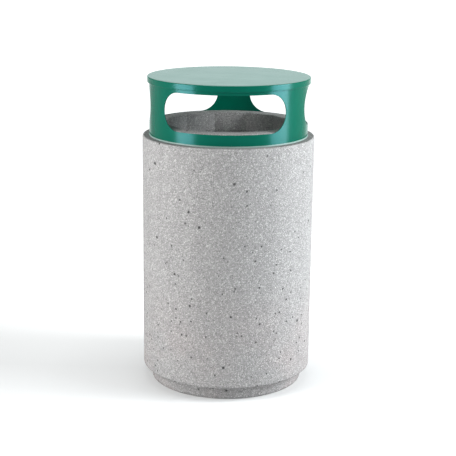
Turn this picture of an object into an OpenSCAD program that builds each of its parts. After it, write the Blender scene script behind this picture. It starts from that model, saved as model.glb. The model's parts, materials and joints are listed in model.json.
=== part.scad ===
// Round cast-stone litter bin with a hinged sheet-steel hood.
// A heavy concrete body holds a galvanised liner with a bail handle. A hood with three
// long openings stands on a ledge around the raised collar, tips back on a rear hinge
// and is held shut by a three-sided-key cam lock.
// The front opening faces -Y. The origin is the middle of the drain hole's lower end.

/* [Concrete body] */
// Radius of the concrete body
body_r = 250; // [225:1:300]
// Height of the ledge that the hood stands on
ledge_z = 735; // [600:5:900]
// Distance that the plinth is set back from the body's face
plinth_in = 25; // [15:1:40]
// Height of the recessed plinth
plinth_h = 40; // [20:1:60]
// Thickness of the concrete floor
floor_h = 85; // [60:1:110]
// Height of the raised collar above the ledge
collar_h = 36; // [25:1:50]
// Wall of the collar, from the flats of the twelve-sided cavity to its outer face
collar_wall = 43.5; // [36:0.5:60]
// Turn of the cavity's flats from the hood openings, in degrees
cavity_turn = 2; // [0:1:15]
// Bevel around the body's top edge
top_bevel = 5; // [2:1:8]
// Bevel around the body's bottom edge
bottom_bevel = 4; // [2:1:8]
// Radius of the drain hole
drain_r = 20; // [10:1:30]
// Wall of the plastic sleeve in the drain hole
drain_wall = 2; // [1:0.5:3]

/* [Hood] */
// Width of the ledge outside the hood's band
ledge_w = 20; // [15:1:22]
// Thickness of the band's sheet
band_t = 2.5; // [1.5:0.5:3]
// Height of the hood from the ledge to the top of the cap
hood_h = 170; // [165:1:220]
// Distance that the cap's flange stands out from the band
cap_step = 6; // [4:0.5:10]
// Height of the cap's turned-down flange
flange_h = 17; // [14:1:20]
// Thickness of the cap's sheet
cap_t = 3; // [2:0.5:4]
// Height of a throw-in opening
opening_h = 108; // [80:1:110]
// Width of a throw-in opening around the band, in degrees
opening_span = 95; // [70:1:98]
// Height of the openings' lower edge above the ledge
sill_h = 35; // [32:1:40]
// Width of the light strip along the band's lower edge
trim_h = 4; // [3:0.5:6]
// Thickness of the strip where it stands out from the band
trim_t = 1; // [0.5:0.5:1.5]

/* [Hinge] */
// Width of the hinge
hinge_w = 70; // [50:1:74]
// Radius of the hinge pin
pin_r = 3; // [2.5:0.5:3.5]
// Outer radius of the knuckles
knuckle_r = 6; // [5.5:0.5:6.5]
// Thickness of the hinge's fixed leaf
leaf_t = 4; // [3:0.5:4.5]
// Height of the knuckles' centre above the ledge
knuckle_z = 7; // [7:0.5:9]
// Length of the fixed leaf below the knuckles' centre
leaf_len = 52; // [46:1:60]
// Radius of the anchor bolts
bolt_r = 4; // [3:0.5:4]
// How far the hood tips back, in degrees
hood_travel = 100; // [90:1:110]

/* [Lock] */
// Place of the lock around the band, in degrees from the front towards +X
lock_az = 105; // [95:1:110]
// Radius of the lock's threaded housing
housing_r = 9.5; // [9:0.5:10]
// Radius of the turning plug
plug_r = 7; // [6:0.5:7.5]
// Length of the cam from the plug's axis to its tip
cam_len = 24; // [20:1:24]
// Width of the cam
cam_w = 12; // [10:1:12]

/* [Liner] */
// Gap between the liner's wall and the cavity's flats
liner_gap = 13.5; // [12:0.5:40]
// Distance from the collar's top down to the liner's mouth
liner_down = 91; // [70:1:200]
// Thickness of the liner's sheet
liner_t = 1.5; // [1:0.5:2]
// Radius of the rolled bead around the liner's mouth
bead_r = 5; // [4:0.5:6]
// Radius of the bail handle's wire
bail_r = 3; // [2.5:0.5:4]
// Radius of the bail's grip
grip_r = 6; // [5:0.5:8]
// Length of the bail's grip around its bend, in degrees
grip_span = 36; // [20:1:60]

/* [Hidden] */
$fn = 96;

// Clearances
run = 0.05;       // radial clearance of a running fit
gap = 0.3;        // gap between pieces that move past each other
big = 900;        // longer than anything it cuts

// Colours
concrete_grey = [0.66, 0.65, 0.63];
coat_green = [0.10, 0.48, 0.42];
trim_pale = [0.72, 0.80, 0.78];
zinc_grey = [0.62, 0.65, 0.67];
stainless_grey = [0.74, 0.74, 0.75];
plastic_black = [0.10, 0.10, 0.11];

// Concrete body
plinth_r = body_r - plinth_in;
band_r = body_r - ledge_w;
band_in = band_r - band_t;
collar_gap = 5.5;
collar_r = band_in - collar_gap;
cavity_flat_r = collar_r - collar_wall;
collar_top = ledge_z + collar_h;
collar_bevel = 3;
cavity_half_angle = 15;
cavity_corner_r = cavity_flat_r / cos(cavity_half_angle);
plinth_bevel = 3;

// Hood
opening_count = 3;
cap_r = band_r + cap_step;
cap_top = ledge_z + hood_h;
cap_under = cap_top - cap_t;
cap_edge = 2.5;
opening_z = ledge_z + sill_h + opening_h / 2;
opening_pitch = 360 / opening_count;
crossing = 0.05;  // lets the round ends cross the flats instead of only touching them
// half the angle between the centres of an opening's two round ends
end_az = opening_span / 2 - asin(opening_h / 2 / band_r);
ring_w = 24;
ring_t = 3;
ring_leg = 17;
stud_r = 3;
stud_len = 13;
stud_at_r = band_in - 13.5;
stud_count = 6;
nut_af_r = 5.8;
nut_h = 5;

// Hinge: five knuckles, the outer and middle ones fixed
seat_cut = 3;
seat_h = 50;
seat_y = body_r - seat_cut;
seat_z = ledge_z - seat_h;
seat_w = 2 * sqrt(pow(body_r, 2) - pow(seat_y, 2)) + 2;
hinge_y = seat_y + knuckle_r;
hinge_z = ledge_z + knuckle_z;
knuckle_len = hinge_w / 5;
web_t = 3;
hood_leaf_t = 3;
hood_leaf_h = 26;
hood_leaf_z = ledge_z + 5;
stop_len = 12;
stop_gap = 0.2;
bolt_x = hinge_w / 2 - 13;
bolt_rows = [ledge_z - 33, ledge_z - 13];
socket_r = 7;
socket_len = 50;
socket_floor = 5;
bolt_short = 15;  // how far a bolt's end stays from the socket's end
washer_t = 1.6;
washer_r = 6.9;
bolt_head_r = 6.5;
bolt_head_h = 5;
rivet_r = 2.5;
rivet_head_r = 4.5;
rivet_head_t = 2;
rivet_x = hinge_w / 2 - 11;
rivet_down = 7;   // from the moving leaf's top edge to its rivets
head_sag = 0.05;  // keeps a rivet's flat head off the curved sheet behind it
ear_head_sag = 0.07;
pin_head_r = 5;
pin_head_t = 2.5;
pin_over = 4;
groove_r = 2.2;
groove_x = hinge_w / 2 + 0.5;
clip_slot = 2.4;
clip_t = 1.2;

// Lock, laid out in a frame with x pointing out through the band at lock_az
lock_z = ledge_z + sill_h / 2;
gasket_t = 1;
flange_x = band_r + gasket_t;
flange_t = 2.5;
flange_r = 13;
plug_head_r = 8.5;
plug_head_t = 1.5;
housing_in_x = band_in - 15.5;
nut_t = 5;
nut_r = 13.8;
nut_x = band_in - nut_t - 0.5;
cam_t = 3;
cam_x = housing_in_x - cam_t;
pocket_x = cam_x - 9;
pocket_front = 40;
pocket_back = 20;
pocket_z = ledge_z - 10;
keeper_t = 3;
keeper_from = 12;
keeper_to = 34;
keeper_under = lock_z + cam_w / 2 + 2;
keeper_reach = 16;
screw_r = 2.5;
screw_head_r = 4;
screw_head_t = 2.5;
screw_len = 12;
keeper_screw_z = [-16, -4];
cam_screw_r = 2.5;
cam_screw_len = 7;
cam_screw_head_r = 5;
cam_screw_head_t = 3;
key_r = 5.2;
key_depth = 9;
key_bar_r = 4.4;

// Liner, standing on the concrete floor
liner_r = cavity_flat_r - liner_gap;
liner_z = floor_h;
liner_top = collar_top - liner_down;
bead_z = liner_top - bead_r;
bead_lap = 1;
bead_at_r = liner_r + bead_r - bead_lap;
base_up = 10;
ear_w = 36;
ear_t = 2.5;
ear_r = liner_r - liner_t;
bail_z = liner_top + grip_r + gap;
ear_low = liner_top - 50;
ear_rivets_z = [liner_top - 40, liner_top - 25];
ear_round = 12;
bail_in = 5;
bail_head_r = bail_r + 1.5;
bail_head_t = 3;

// Puts its children in the lock's frame
module at_lock() {
    rotate([0, 0, lock_az - 90]) translate([0, 0, lock_z]) children();
}

// A cylinder along +X from x0 to x1
module bar_x(r, x0, x1, sides = 0) {
    translate([x0, 0, 0]) rotate([0, 90, 0])
        cylinder(r = r, h = x1 - x0, $fn = sides > 0 ? sides : $fn);
}

// A cylinder along +Y from y0 to y1
module bar_y(r, y0, y1, sides = 0) {
    translate([0, y0, 0]) rotate([-90, 0, 0])
        cylinder(r = r, h = y1 - y0, $fn = sides > 0 ? sides : $fn);
}

// A straight tube around the Z axis
module tube(r_out, r_in, z0, z1) {
    difference() {
        translate([0, 0, z0]) cylinder(r = r_out, h = z1 - z0);
        translate([0, 0, z0 - 1]) cylinder(r = r_in, h = z1 - z0 + 2);
    }
}

// The cylinder around the hinge axis from one x to another
module hinge_bar(r, x0, x1) {
    translate([0, hinge_y, hinge_z]) bar_x(r, x0, x1);
}

// The two knuckles that turn with the hood, from x0 to x1 each
function hood_knuckles(slack) = [
    [-1.5 * knuckle_len - slack, -0.5 * knuckle_len + slack],
    [0.5 * knuckle_len - slack, 1.5 * knuckle_len + slack]];

// The three knuckles that stay with the body
function body_knuckles(slack) = [
    [-2.5 * knuckle_len - slack, -1.5 * knuckle_len + slack],
    [-0.5 * knuckle_len - slack, 0.5 * knuckle_len + slack],
    [1.5 * knuckle_len - slack, 2.5 * knuckle_len + slack]];

module body_outline() {
    polygon([[0, 0], [plinth_r - plinth_bevel, 0], [plinth_r, plinth_bevel],
             [plinth_r, plinth_h], [body_r - bottom_bevel, plinth_h],
             [body_r, plinth_h + bottom_bevel], [body_r, ledge_z - top_bevel],
             [body_r - top_bevel, ledge_z], [collar_r, ledge_z],
             [collar_r, collar_top - collar_bevel], [collar_r - collar_bevel, collar_top],
             [0, collar_top]]);
}

// The recess in the collar where the lock's cam hangs
module lock_pocket() {
    at_lock() translate([pocket_x, -pocket_front, pocket_z - lock_z])
        cube([collar_r + 5 - pocket_x, pocket_front + pocket_back, collar_top + 5 - pocket_z]);
}

module concrete_body() {
    color(concrete_grey) difference() {
        rotate_extrude() body_outline();
        translate([0, 0, floor_h]) rotate([0, 0, cavity_half_angle + cavity_turn])
            cylinder(r = cavity_corner_r, h = collar_top, $fn = 12);
        translate([0, 0, -1]) cylinder(r = drain_r + drain_wall, h = floor_h + 2);
        translate([-seat_w / 2, seat_y, seat_z])
            cube([seat_w, body_r, ledge_z + 1 - seat_z]);
        for (x = [-bolt_x, bolt_x], z = bolt_rows)
            translate([x, 0, z]) bar_y(socket_r, seat_y - socket_len, seat_y + 1);
        lock_pocket();
        at_lock() keeper_screw_places() bar_x(screw_r, pocket_x - screw_len, pocket_x + 1);
    }
}

module drain_sleeve() {
    color(plastic_black) tube(drain_r + drain_wall, drain_r, 0, floor_h);
}

module hinge_anchor_sockets() {
    color(zinc_grey) for (x = [-bolt_x, bolt_x], z = bolt_rows)
        translate([x, 0, z]) difference() {
            bar_y(socket_r, seat_y - socket_len, seat_y);
            bar_y(bolt_r, seat_y - socket_len + socket_floor, seat_y + 1);
        }
}

module hinge_body_leaf() {
    color(stainless_grey) difference() {
        union() {
            translate([-hinge_w / 2, seat_y, hinge_z - leaf_len])
                cube([hinge_w, leaf_t, leaf_len]);
            hinge_bar(knuckle_r, -hinge_w / 2, hinge_w / 2);
        }
        for (k = hood_knuckles(gap)) hinge_bar(knuckle_r + 0.5, k[0], k[1]);
        for (k = hood_knuckles(gap)) translate([k[0], seat_y - 1, hinge_z])
            cube([k[1] - k[0], 2 * knuckle_r, knuckle_r + 1]);
        hinge_bar(pin_r, -hinge_w, hinge_w);
        for (x = [-bolt_x, bolt_x], z = bolt_rows)
            translate([x, 0, z]) bar_y(bolt_r, seat_y - 1, seat_y + leaf_t + 1);
    }
}

module hinge_body_bolts() {
    head_y = seat_y + leaf_t + washer_t;
    color(zinc_grey) for (x = [-bolt_x, bolt_x], z = bolt_rows)
        translate([x, 0, z]) {
            bar_y(bolt_r, seat_y - socket_len + bolt_short, head_y);
            bar_y(bolt_head_r, head_y, head_y + bolt_head_h, 6);
        }
}

module hinge_body_washers() {
    color(zinc_grey) for (x = [-bolt_x, bolt_x], z = bolt_rows)
        translate([x, 0, z]) difference() {
            bar_y(washer_r, seat_y + leaf_t, seat_y + leaf_t + washer_t);
            bar_y(bolt_r, seat_y + leaf_t - 1, seat_y + leaf_t + washer_t + 1);
        }
}

module hinge_pin() {
    end_x = hinge_w / 2;
    color(stainless_grey) difference() {
        union() {
            hinge_bar(pin_r, -end_x, end_x + pin_over);
            hinge_bar(pin_head_r, -end_x - pin_head_t, -end_x);
        }
        difference() {
            hinge_bar(pin_r + 1, groove_x, groove_x + clip_t);
            hinge_bar(groove_r, groove_x - 1, groove_x + clip_t + 1);
        }
    }
}

module hinge_pin_clip() {
    color(stainless_grey) difference() {
        hinge_bar(pin_head_r, groove_x, groove_x + clip_t);
        hinge_bar(groove_r, groove_x - 1, groove_x + clip_t + 1);
        translate([groove_x - 1, hinge_y, hinge_z - clip_slot / 2])
            cube([clip_t + 2, knuckle_r, clip_slot]);
    }
}

// Where the two keeper screws go, in the lock's frame
module keeper_screw_places() {
    for (z = keeper_screw_z) translate([0, -(keeper_from + keeper_to) / 2, z]) children();
}

module lock_keeper() {
    low = pocket_z + 4 - lock_z;
    top = keeper_under + keeper_t - lock_z;
    color(stainless_grey) at_lock() difference() {
        union() {
            translate([pocket_x, -keeper_to, low])
                cube([keeper_t, keeper_to - keeper_from, top - low]);
            translate([pocket_x, -keeper_to, top - keeper_t])
                cube([keeper_reach, keeper_to - keeper_from, keeper_t]);
        }
        keeper_screw_places() bar_x(screw_r, pocket_x - 1, pocket_x + keeper_t + 1);
    }
}

module lock_keeper_screws() {
    head_x = pocket_x + keeper_t;
    color(stainless_grey) at_lock() keeper_screw_places() {
        bar_x(screw_r, pocket_x - screw_len, head_x);
        bar_x(screw_head_r, head_x, head_x + screw_head_t);
    }
}

// Puts its children at each stud under the cap
module at_studs() {
    for (i = [0 : stud_count - 1])
        rotate([0, 0, (i + 0.5) * 360 / stud_count]) translate([stud_at_r, 0, 0]) children();
}

module hood_cap() {
    color(coat_green) {
        rotate_extrude() polygon([
            [0, cap_under], [cap_r - cap_t, cap_under], [cap_r - cap_t, cap_top - flange_h],
            [cap_r, cap_top - flange_h], [cap_r, cap_top - cap_edge],
            [cap_r - cap_edge * 0.3, cap_top - cap_edge * 0.3],
            [cap_r - cap_edge, cap_top], [0, cap_top]]);
        at_studs() translate([0, 0, cap_under - stud_len]) cylinder(r = stud_r, h = stud_len + 1);
    }
}

module hood_top_ring() {
    low = cap_under - ring_t;
    color(coat_green) difference() {
        rotate_extrude() polygon([
            [band_in - ring_w, low], [band_in - ring_t, low], [band_in - ring_t, cap_under - ring_leg],
            [band_in, cap_under - ring_leg], [band_in, cap_under], [band_in - ring_w, cap_under]]);
        at_studs() translate([0, 0, low - 1]) cylinder(r = stud_r, h = ring_t + 2);
    }
}

module hood_cap_nuts() {
    top = cap_under - ring_t;
    color(zinc_grey) at_studs() difference() {
        translate([0, 0, top - nut_h]) cylinder(r = nut_af_r, h = nut_h, $fn = 6);
        translate([0, 0, top - nut_h - 1]) cylinder(r = stud_r, h = nut_h + 2);
    }
}

// One throw-in opening: a sector of the band with two round ends, facing -Y
module opening_cut() {
    far = 2 * band_r;
    flat_h = opening_h - 2 * crossing;
    translate([0, 0, opening_z - flat_h / 2]) linear_extrude(flat_h)
        polygon([[0, 0], [-far * sin(end_az), -far * cos(end_az)],
                 [far * sin(end_az), -far * cos(end_az)]]);
    for (side = [-1, 1]) rotate([0, 0, side * end_az]) translate([0, 0, opening_z])
        bar_y(opening_h / 2, -far, -band_r / 2);
}

// Puts its children at each rivet of the hinge's moving leaf, in a frame with x outwards
module at_leaf_rivets() {
    for (x = [-rivet_x, 0, rivet_x])
        rotate([0, 0, 90 - asin(x / band_r)])
            translate([0, 0, hood_leaf_z + hood_leaf_h - rivet_down]) children();
}

module hood_band() {
    color(coat_green) difference() {
        tube(band_r, band_in, ledge_z, cap_under);
        for (i = [0 : opening_count - 1]) rotate([0, 0, i * opening_pitch]) opening_cut();
        at_lock() bar_x(housing_r, band_in - 5, band_r + 5);
        at_leaf_rivets() bar_x(rivet_r, band_in - 5, band_r + 5);
    }
}

module hood_edge_trim() {
    color(trim_pale) difference() {
        tube(band_r + trim_t, band_r, ledge_z, ledge_z + trim_h);
        translate([-hinge_w / 2 - 1, 0, ledge_z - 1]) cube([hinge_w + 2, big, trim_h + 2]);
    }
}

module hinge_hood_leaf() {
    sector_w = hinge_w - 2;
    color(stainless_grey) difference() {
        union() {
            intersection() {
                tube(band_r + hood_leaf_t, band_r, hood_leaf_z, hood_leaf_z + hood_leaf_h);
                translate([-sector_w / 2, 0, hood_leaf_z]) cube([sector_w, big, hood_leaf_h]);
            }
            difference() {
                translate([-sector_w / 2, band_in - 10, hinge_z + knuckle_r - web_t])
                    cube([sector_w, hinge_y - band_in + 10, web_t]);
                translate([0, 0, ledge_z]) cylinder(r = band_r, h = hood_h);
            }
            for (k = hood_knuckles(-gap)) {
                hinge_bar(knuckle_r, k[0], k[1]);
                translate([k[0], hinge_y, hinge_z]) rotate([hood_travel - 90, 0, 0])
                    translate([0, 0, leaf_t - knuckle_r + stop_gap])
                    cube([k[1] - k[0], stop_len, web_t]);
            }
        }
        for (k = body_knuckles(gap)) hinge_bar(knuckle_r + 0.5, k[0] - 0.5, k[1] + 0.5);
        hinge_bar(pin_r + run, -hinge_w, hinge_w);
        at_leaf_rivets() bar_x(rivet_r, band_r - 5, band_r + 10);
    }
}

module hinge_hood_rivets() {
    out_x = band_r + hood_leaf_t;
    color(zinc_grey) at_leaf_rivets() {
        bar_x(rivet_r, band_in - 1, out_x + 1);
        bar_x(rivet_head_r, out_x, out_x + rivet_head_t);
        bar_x(rivet_head_r, band_in - rivet_head_t - head_sag, band_in - head_sag);
    }
}

module lock_housing() {
    color(stainless_grey) at_lock() difference() {
        union() {
            bar_x(housing_r, housing_in_x, flange_x + 1);
            bar_x(flange_r, flange_x, flange_x + flange_t);
        }
        bar_x(plug_r + run, housing_in_x - 1, flange_x + flange_t + 1);
        bar_x(plug_head_r + run, flange_x + flange_t - plug_head_t - 2 * run, flange_x + flange_t + 1);
    }
}

module lock_gasket() {
    color(plastic_black) at_lock() difference() {
        bar_x(flange_r - 0.5, band_r, flange_x);
        bar_x(housing_r, band_r - 1, flange_x + 1);
    }
}

module lock_nut() {
    color(stainless_grey) at_lock() difference() {
        bar_x(nut_r, nut_x, nut_x + nut_t, 6);
        bar_x(housing_r, nut_x - 1, nut_x + nut_t + 1);
    }
}

module lock_plug() {
    face = flange_x + flange_t;
    color(stainless_grey) at_lock() difference() {
        union() {
            bar_x(plug_r, housing_in_x, face - 1);
            bar_x(plug_head_r, face - plug_head_t, face);
        }
        difference() {
            bar_x(key_r, face - key_depth, face + 1);
            bar_x(key_bar_r, face - key_depth - 1, face - 0.5, 3);
        }
        bar_x(cam_screw_r, housing_in_x - 1, housing_in_x + cam_screw_len + 1);
    }
}

module lock_cam() {
    reach = cam_len - cam_w / 2;
    color(zinc_grey) at_lock() difference() {
        union() {
            bar_x(plug_r, cam_x, housing_in_x);
            translate([cam_x, -cam_w / 2, -reach]) cube([cam_t, cam_w, reach]);
            translate([0, 0, -reach]) bar_x(cam_w / 2, cam_x, housing_in_x);
        }
        bar_x(cam_screw_r, cam_x - 1, housing_in_x + 1);
    }
}

module lock_cam_screw() {
    color(zinc_grey) at_lock() {
        bar_x(cam_screw_r, cam_x, housing_in_x + cam_screw_len);
        bar_x(cam_screw_head_r, cam_x - cam_screw_head_t, cam_x);
    }
}

module liner_shell() {
    color(zinc_grey) difference() {
        union() {
            tube(liner_r, liner_r - liner_t, liner_z, bead_z);
            translate([0, 0, bead_z]) rotate_extrude() translate([bead_at_r, 0]) circle(r = bead_r);
        }
        translate([0, 0, bead_z]) rotate_extrude()
            translate([bead_at_r, 0]) circle(r = bead_r - liner_t);
        ear_rivet_places() bar_x(rivet_r, ear_r - 10, liner_r + 10);
    }
}

module liner_base() {
    up = liner_z + base_up;
    color(zinc_grey) rotate_extrude() polygon([
        [0, up], [ear_r - liner_t, up], [ear_r - liner_t, liner_z], [ear_r, liner_z],
        [ear_r, up + liner_t], [0, up + liner_t]]);
}

module liner_rim_wire() {
    color(zinc_grey) translate([0, 0, bead_z]) rotate_extrude()
        translate([bead_at_r, 0]) circle(r = bead_r - liner_t);
}

// Puts its children at the four ear rivets, in a frame with x outwards
module ear_rivet_places() {
    for (side = [0, 180], z = ear_rivets_z) rotate([0, 0, side]) translate([0, 0, z]) children();
}

module liner_ears() {
    color(zinc_grey) difference() {
        intersection() {
            tube(ear_r, ear_r - ear_t, ear_low, bail_z + ear_round);
            union() {
                translate([-big / 2, -ear_w / 2, ear_low]) cube([big, ear_w, bail_z - ear_low]);
                translate([0, 0, bail_z]) bar_x(ear_round, -big / 2, big / 2);
            }
        }
        translate([0, 0, bail_z]) bar_x(bail_r + 2 * run, -big / 2, big / 2);
        ear_rivet_places() bar_x(rivet_r, ear_r - 10, ear_r + 10);
    }
}

module liner_ear_rivets() {
    color(zinc_grey) ear_rivet_places() {
        bar_x(rivet_r, ear_r - ear_t - 1, liner_r + 1);
        bar_x(rivet_head_r, liner_r, liner_r + rivet_head_t);
        bar_x(rivet_head_r, ear_r - ear_t - rivet_head_t - ear_head_sag, ear_r - ear_t - ear_head_sag);
    }
}

// The bail lies over the front half of the rim, with its ends turned in through the ears
module bail_handle() {
    inner = ear_r - ear_t - bail_in;
    color(zinc_grey) translate([0, 0, bail_z]) {
        rotate([0, 0, 180]) rotate_extrude(angle = 180) translate([bead_at_r, 0]) circle(r = bail_r);
        for (side = [0, 180]) rotate([0, 0, side]) {
            bar_x(bail_r, inner, bead_at_r);
            translate([bead_at_r, 0, 0]) sphere(r = bail_r);
            bar_x(bail_head_r, inner - 1, inner - 1 + bail_head_t);
        }
    }
}

module bail_grip() {
    color(plastic_black) translate([0, 0, bail_z]) rotate([0, 0, -90 - grip_span / 2])
        rotate_extrude(angle = grip_span) translate([bead_at_r, 0]) difference() {
            circle(r = grip_r);
            circle(r = bail_r);
        }
}

concrete_body();
drain_sleeve();
hinge_anchor_sockets();
hinge_body_leaf();
hinge_body_bolts();
hinge_body_washers();
hinge_pin();
hinge_pin_clip();
lock_keeper();
lock_keeper_screws();
hood_cap();
hood_top_ring();
hood_cap_nuts();
hood_band();
hood_edge_trim();
hinge_hood_leaf();
hinge_hood_rivets();
lock_housing();
lock_gasket();
lock_nut();
lock_plug();
lock_cam();
lock_cam_screw();
liner_shell();
liner_base();
liner_rim_wire();
liner_ears();
liner_ear_rivets();
bail_handle();
bail_grip();
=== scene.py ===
"""A round cast-stone litter bin with a hinged sheet-steel hood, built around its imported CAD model.

All lengths are metres, in the CAD model's own frame: +Z up, the front opening faces -Y and
the hinge is at +Y. Angles around the bin, called azimuths, run from the front towards +X.
"""
import json
import math

import bmesh
import bpy
import numpy as np
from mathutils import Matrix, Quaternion, Vector


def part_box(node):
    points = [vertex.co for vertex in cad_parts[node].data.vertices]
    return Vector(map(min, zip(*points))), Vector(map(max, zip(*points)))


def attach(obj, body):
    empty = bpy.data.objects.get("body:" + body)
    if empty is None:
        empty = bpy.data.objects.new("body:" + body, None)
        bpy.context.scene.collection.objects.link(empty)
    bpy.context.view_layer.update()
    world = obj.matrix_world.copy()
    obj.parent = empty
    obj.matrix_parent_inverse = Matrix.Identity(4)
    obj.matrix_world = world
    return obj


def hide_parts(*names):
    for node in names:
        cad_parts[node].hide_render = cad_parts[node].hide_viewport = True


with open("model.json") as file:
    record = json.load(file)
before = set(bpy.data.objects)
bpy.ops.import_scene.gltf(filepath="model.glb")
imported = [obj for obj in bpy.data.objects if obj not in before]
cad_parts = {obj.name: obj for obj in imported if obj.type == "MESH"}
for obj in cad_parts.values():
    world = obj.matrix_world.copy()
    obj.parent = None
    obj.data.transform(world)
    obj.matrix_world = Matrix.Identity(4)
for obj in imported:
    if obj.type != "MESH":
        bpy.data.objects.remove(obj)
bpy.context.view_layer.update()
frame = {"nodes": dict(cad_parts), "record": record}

bl_info = {
    "name": "Cast Stone Litter Bin",
    "version": (1, 0, 0),
    "blender": (4, 5, 0),
    "location": "3D View > Sidebar > Litter Bin",
    "description": "Builds a cast-stone litter bin with a hinged steel hood and a lift-out liner",
    "category": "Add Mesh",
}

MM = 0.001

# Sizes that the CAD model settles
BODY_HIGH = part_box("concrete_body")[1]
BAND_LOW, BAND_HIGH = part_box("hood_band")
CAP_LOW, CAP_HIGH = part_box("hood_cap")
STRIP_LOW, STRIP_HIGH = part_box("hood_edge_trim")
LINER_LOW, LINER_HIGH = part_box("liner_shell")
BASE_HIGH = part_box("liner_base")[1]
WIRE_LOW, WIRE_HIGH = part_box("liner_rim_wire")
BAIL_LOW, BAIL_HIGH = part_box("bail_handle")
GRIP_LOW, GRIP_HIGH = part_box("bail_grip")
SLEEVE_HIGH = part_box("drain_sleeve")[1]
SEAT_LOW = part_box("hinge_body_leaf")[0]
BODY_RADIUS = BODY_HIGH.x
LEDGE_Z = BAND_LOW.z
COLLAR_TOP = BODY_HIGH.z
BAND_RADIUS = BAND_HIGH.x
CAP_RADIUS = CAP_HIGH.x
CAP_TOP = CAP_HIGH.z
FLOOR_TOP = LINER_LOW.z
CLOSE = 1e-6


class BinSizes(bpy.types.PropertyGroup):
    """Sizes of the pieces that a user may want to change."""

    body_radius: bpy.props.FloatProperty(
        name="Body Radius", description="Radius of the cast-stone body",
        default=BODY_RADIUS, unit="LENGTH")
    plinth_radius: bpy.props.FloatProperty(
        name="Plinth Radius", description="Radius of the recessed plinth",
        default=225 * MM, unit="LENGTH")
    plinth_height: bpy.props.FloatProperty(
        name="Plinth Height", description="Height of the recessed plinth",
        default=40 * MM, unit="LENGTH")
    collar_radius: bpy.props.FloatProperty(
        name="Collar Radius", description="Outer radius of the raised collar",
        default=222 * MM, unit="LENGTH")
    cavity_flat: bpy.props.FloatProperty(
        name="Cavity Flats", description="Distance from the axis to the twelve flats of the cavity",
        default=178.5 * MM, unit="LENGTH")
    cavity_turn: bpy.props.FloatProperty(
        name="Cavity Turn", description="Turn of the cavity's corners from the +X axis",
        default=math.radians(17), unit="ROTATION")
    edge_round: bpy.props.FloatProperty(
        name="Edge Rounding", description="Rounding of the body's outer edges",
        default=6 * MM, unit="LENGTH")
    band_thickness: bpy.props.FloatProperty(
        name="Band Thickness", description="Thickness of the hood's steel sheet",
        default=2.5 * MM, unit="LENGTH")
    opening_height: bpy.props.FloatProperty(
        name="Opening Height", description="Height of a throw-in opening",
        default=108 * MM, unit="LENGTH")
    opening_span: bpy.props.FloatProperty(
        name="Opening Width", description="Width of a throw-in opening around the band",
        default=math.radians(95), unit="ROTATION")
    sill_height: bpy.props.FloatProperty(
        name="Sill Height", description="Height of the openings' lower edge above the ledge",
        default=35 * MM, unit="LENGTH")
    sheet_round: bpy.props.FloatProperty(
        name="Sheet Rounding", description="Rounding of the cut edges of the sheet",
        default=0.7 * MM, unit="LENGTH")
    grain_size: bpy.props.FloatProperty(
        name="Grain Size", description="Size of the grains in the cast stone",
        default=3.3 * MM, unit="LENGTH")


class BinColours(bpy.types.PropertyGroup):
    """Base colours of the bin's finishes."""

    stone: bpy.props.FloatVectorProperty(
        name="Stone", description="Colour of the cast stone", subtype="COLOR", size=3,
        default=(0.345, 0.337, 0.334))
    coat: bpy.props.FloatVectorProperty(
        name="Powder Coat", description="Colour of the hood's powder coat", subtype="COLOR",
        size=3, default=(0.0, 0.100, 0.060))
    # Pale as a painted highlight along the band's lower edge
    strip: bpy.props.FloatVectorProperty(
        name="Edge Strip", description="Colour of the strip on the band's lower edge",
        subtype="COLOR", size=3, default=(0.26, 0.37, 0.34))
    zinc: bpy.props.FloatVectorProperty(
        name="Zinc", description="Colour of the galvanised liner", subtype="COLOR", size=3,
        default=(0.46, 0.48, 0.50))
    stainless: bpy.props.FloatVectorProperty(
        name="Stainless Steel", description="Colour of the hinge, lock and fasteners",
        subtype="COLOR", size=3, default=(0.56, 0.56, 0.57))
    plastic: bpy.props.FloatVectorProperty(
        name="Black Plastic", description="Colour of the grip, gasket and drain sleeve",
        subtype="COLOR", size=3, default=(0.018, 0.018, 0.020))


# ---------------------------------------------------------------- shader expressions

class Signal:
    """An output socket of a node tree. Arithmetic on it adds Math nodes."""

    def __init__(self, tree, socket):
        self.tree = tree
        self.socket = socket

    def math(self, operation, first, second):
        node = self.tree.nodes.new("ShaderNodeMath")
        node.operation = operation
        feed(self.tree, node.inputs[0], first)
        feed(self.tree, node.inputs[1], second)
        return Signal(self.tree, node.outputs[0])

    def __add__(self, other):
        return self.math("ADD", self, other)

    def __sub__(self, other):
        return self.math("SUBTRACT", self, other)

    def __rsub__(self, other):
        return self.math("SUBTRACT", other, self)

    def __mul__(self, other):
        return self.math("MULTIPLY", self, other)

    def __truediv__(self, other):
        return self.math("DIVIDE", self, other)

    def __lt__(self, other):
        return self.math("LESS_THAN", self, other)

    def __abs__(self):
        return self.math("ABSOLUTE", self, 0.0)

    __radd__ = __add__
    __rmul__ = __mul__


def feed(tree, socket, value):
    """Links a signal to a socket, or sets the socket's own value."""
    if isinstance(value, Signal):
        tree.links.new(value.socket, socket)
    else:
        socket.default_value = value


class NodeTree:
    """The node tree of a material or a world, and the one way to add a node to it."""

    def __init__(self, owner):
        owner.use_nodes = True
        self.tree = owner.node_tree

    def node(self, kind, settings=None, inputs=None, out=0, stops=()):
        """Adds a node: its settings first, then a ramp's stops, then its sockets."""
        node = self.tree.nodes.new(kind)
        for key, value in (settings or {}).items():
            setattr(node, key, value)
        if stops:
            ramp = node.color_ramp.elements
            while len(ramp) < len(stops):
                ramp.new(0.5)
            for element, (position, level) in zip(ramp, stops):
                element.position = position
                element.color = (level, level, level, 1.0)
        for key, value in (inputs or {}).items():
            feed(self.tree, node.inputs[key], value)
        return Signal(self.tree, node.outputs[out])


# Turn about X, Y and Z of the grid that every noise is made on
GRID_TURN = (0.61, 0.43, 0.52)


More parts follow.
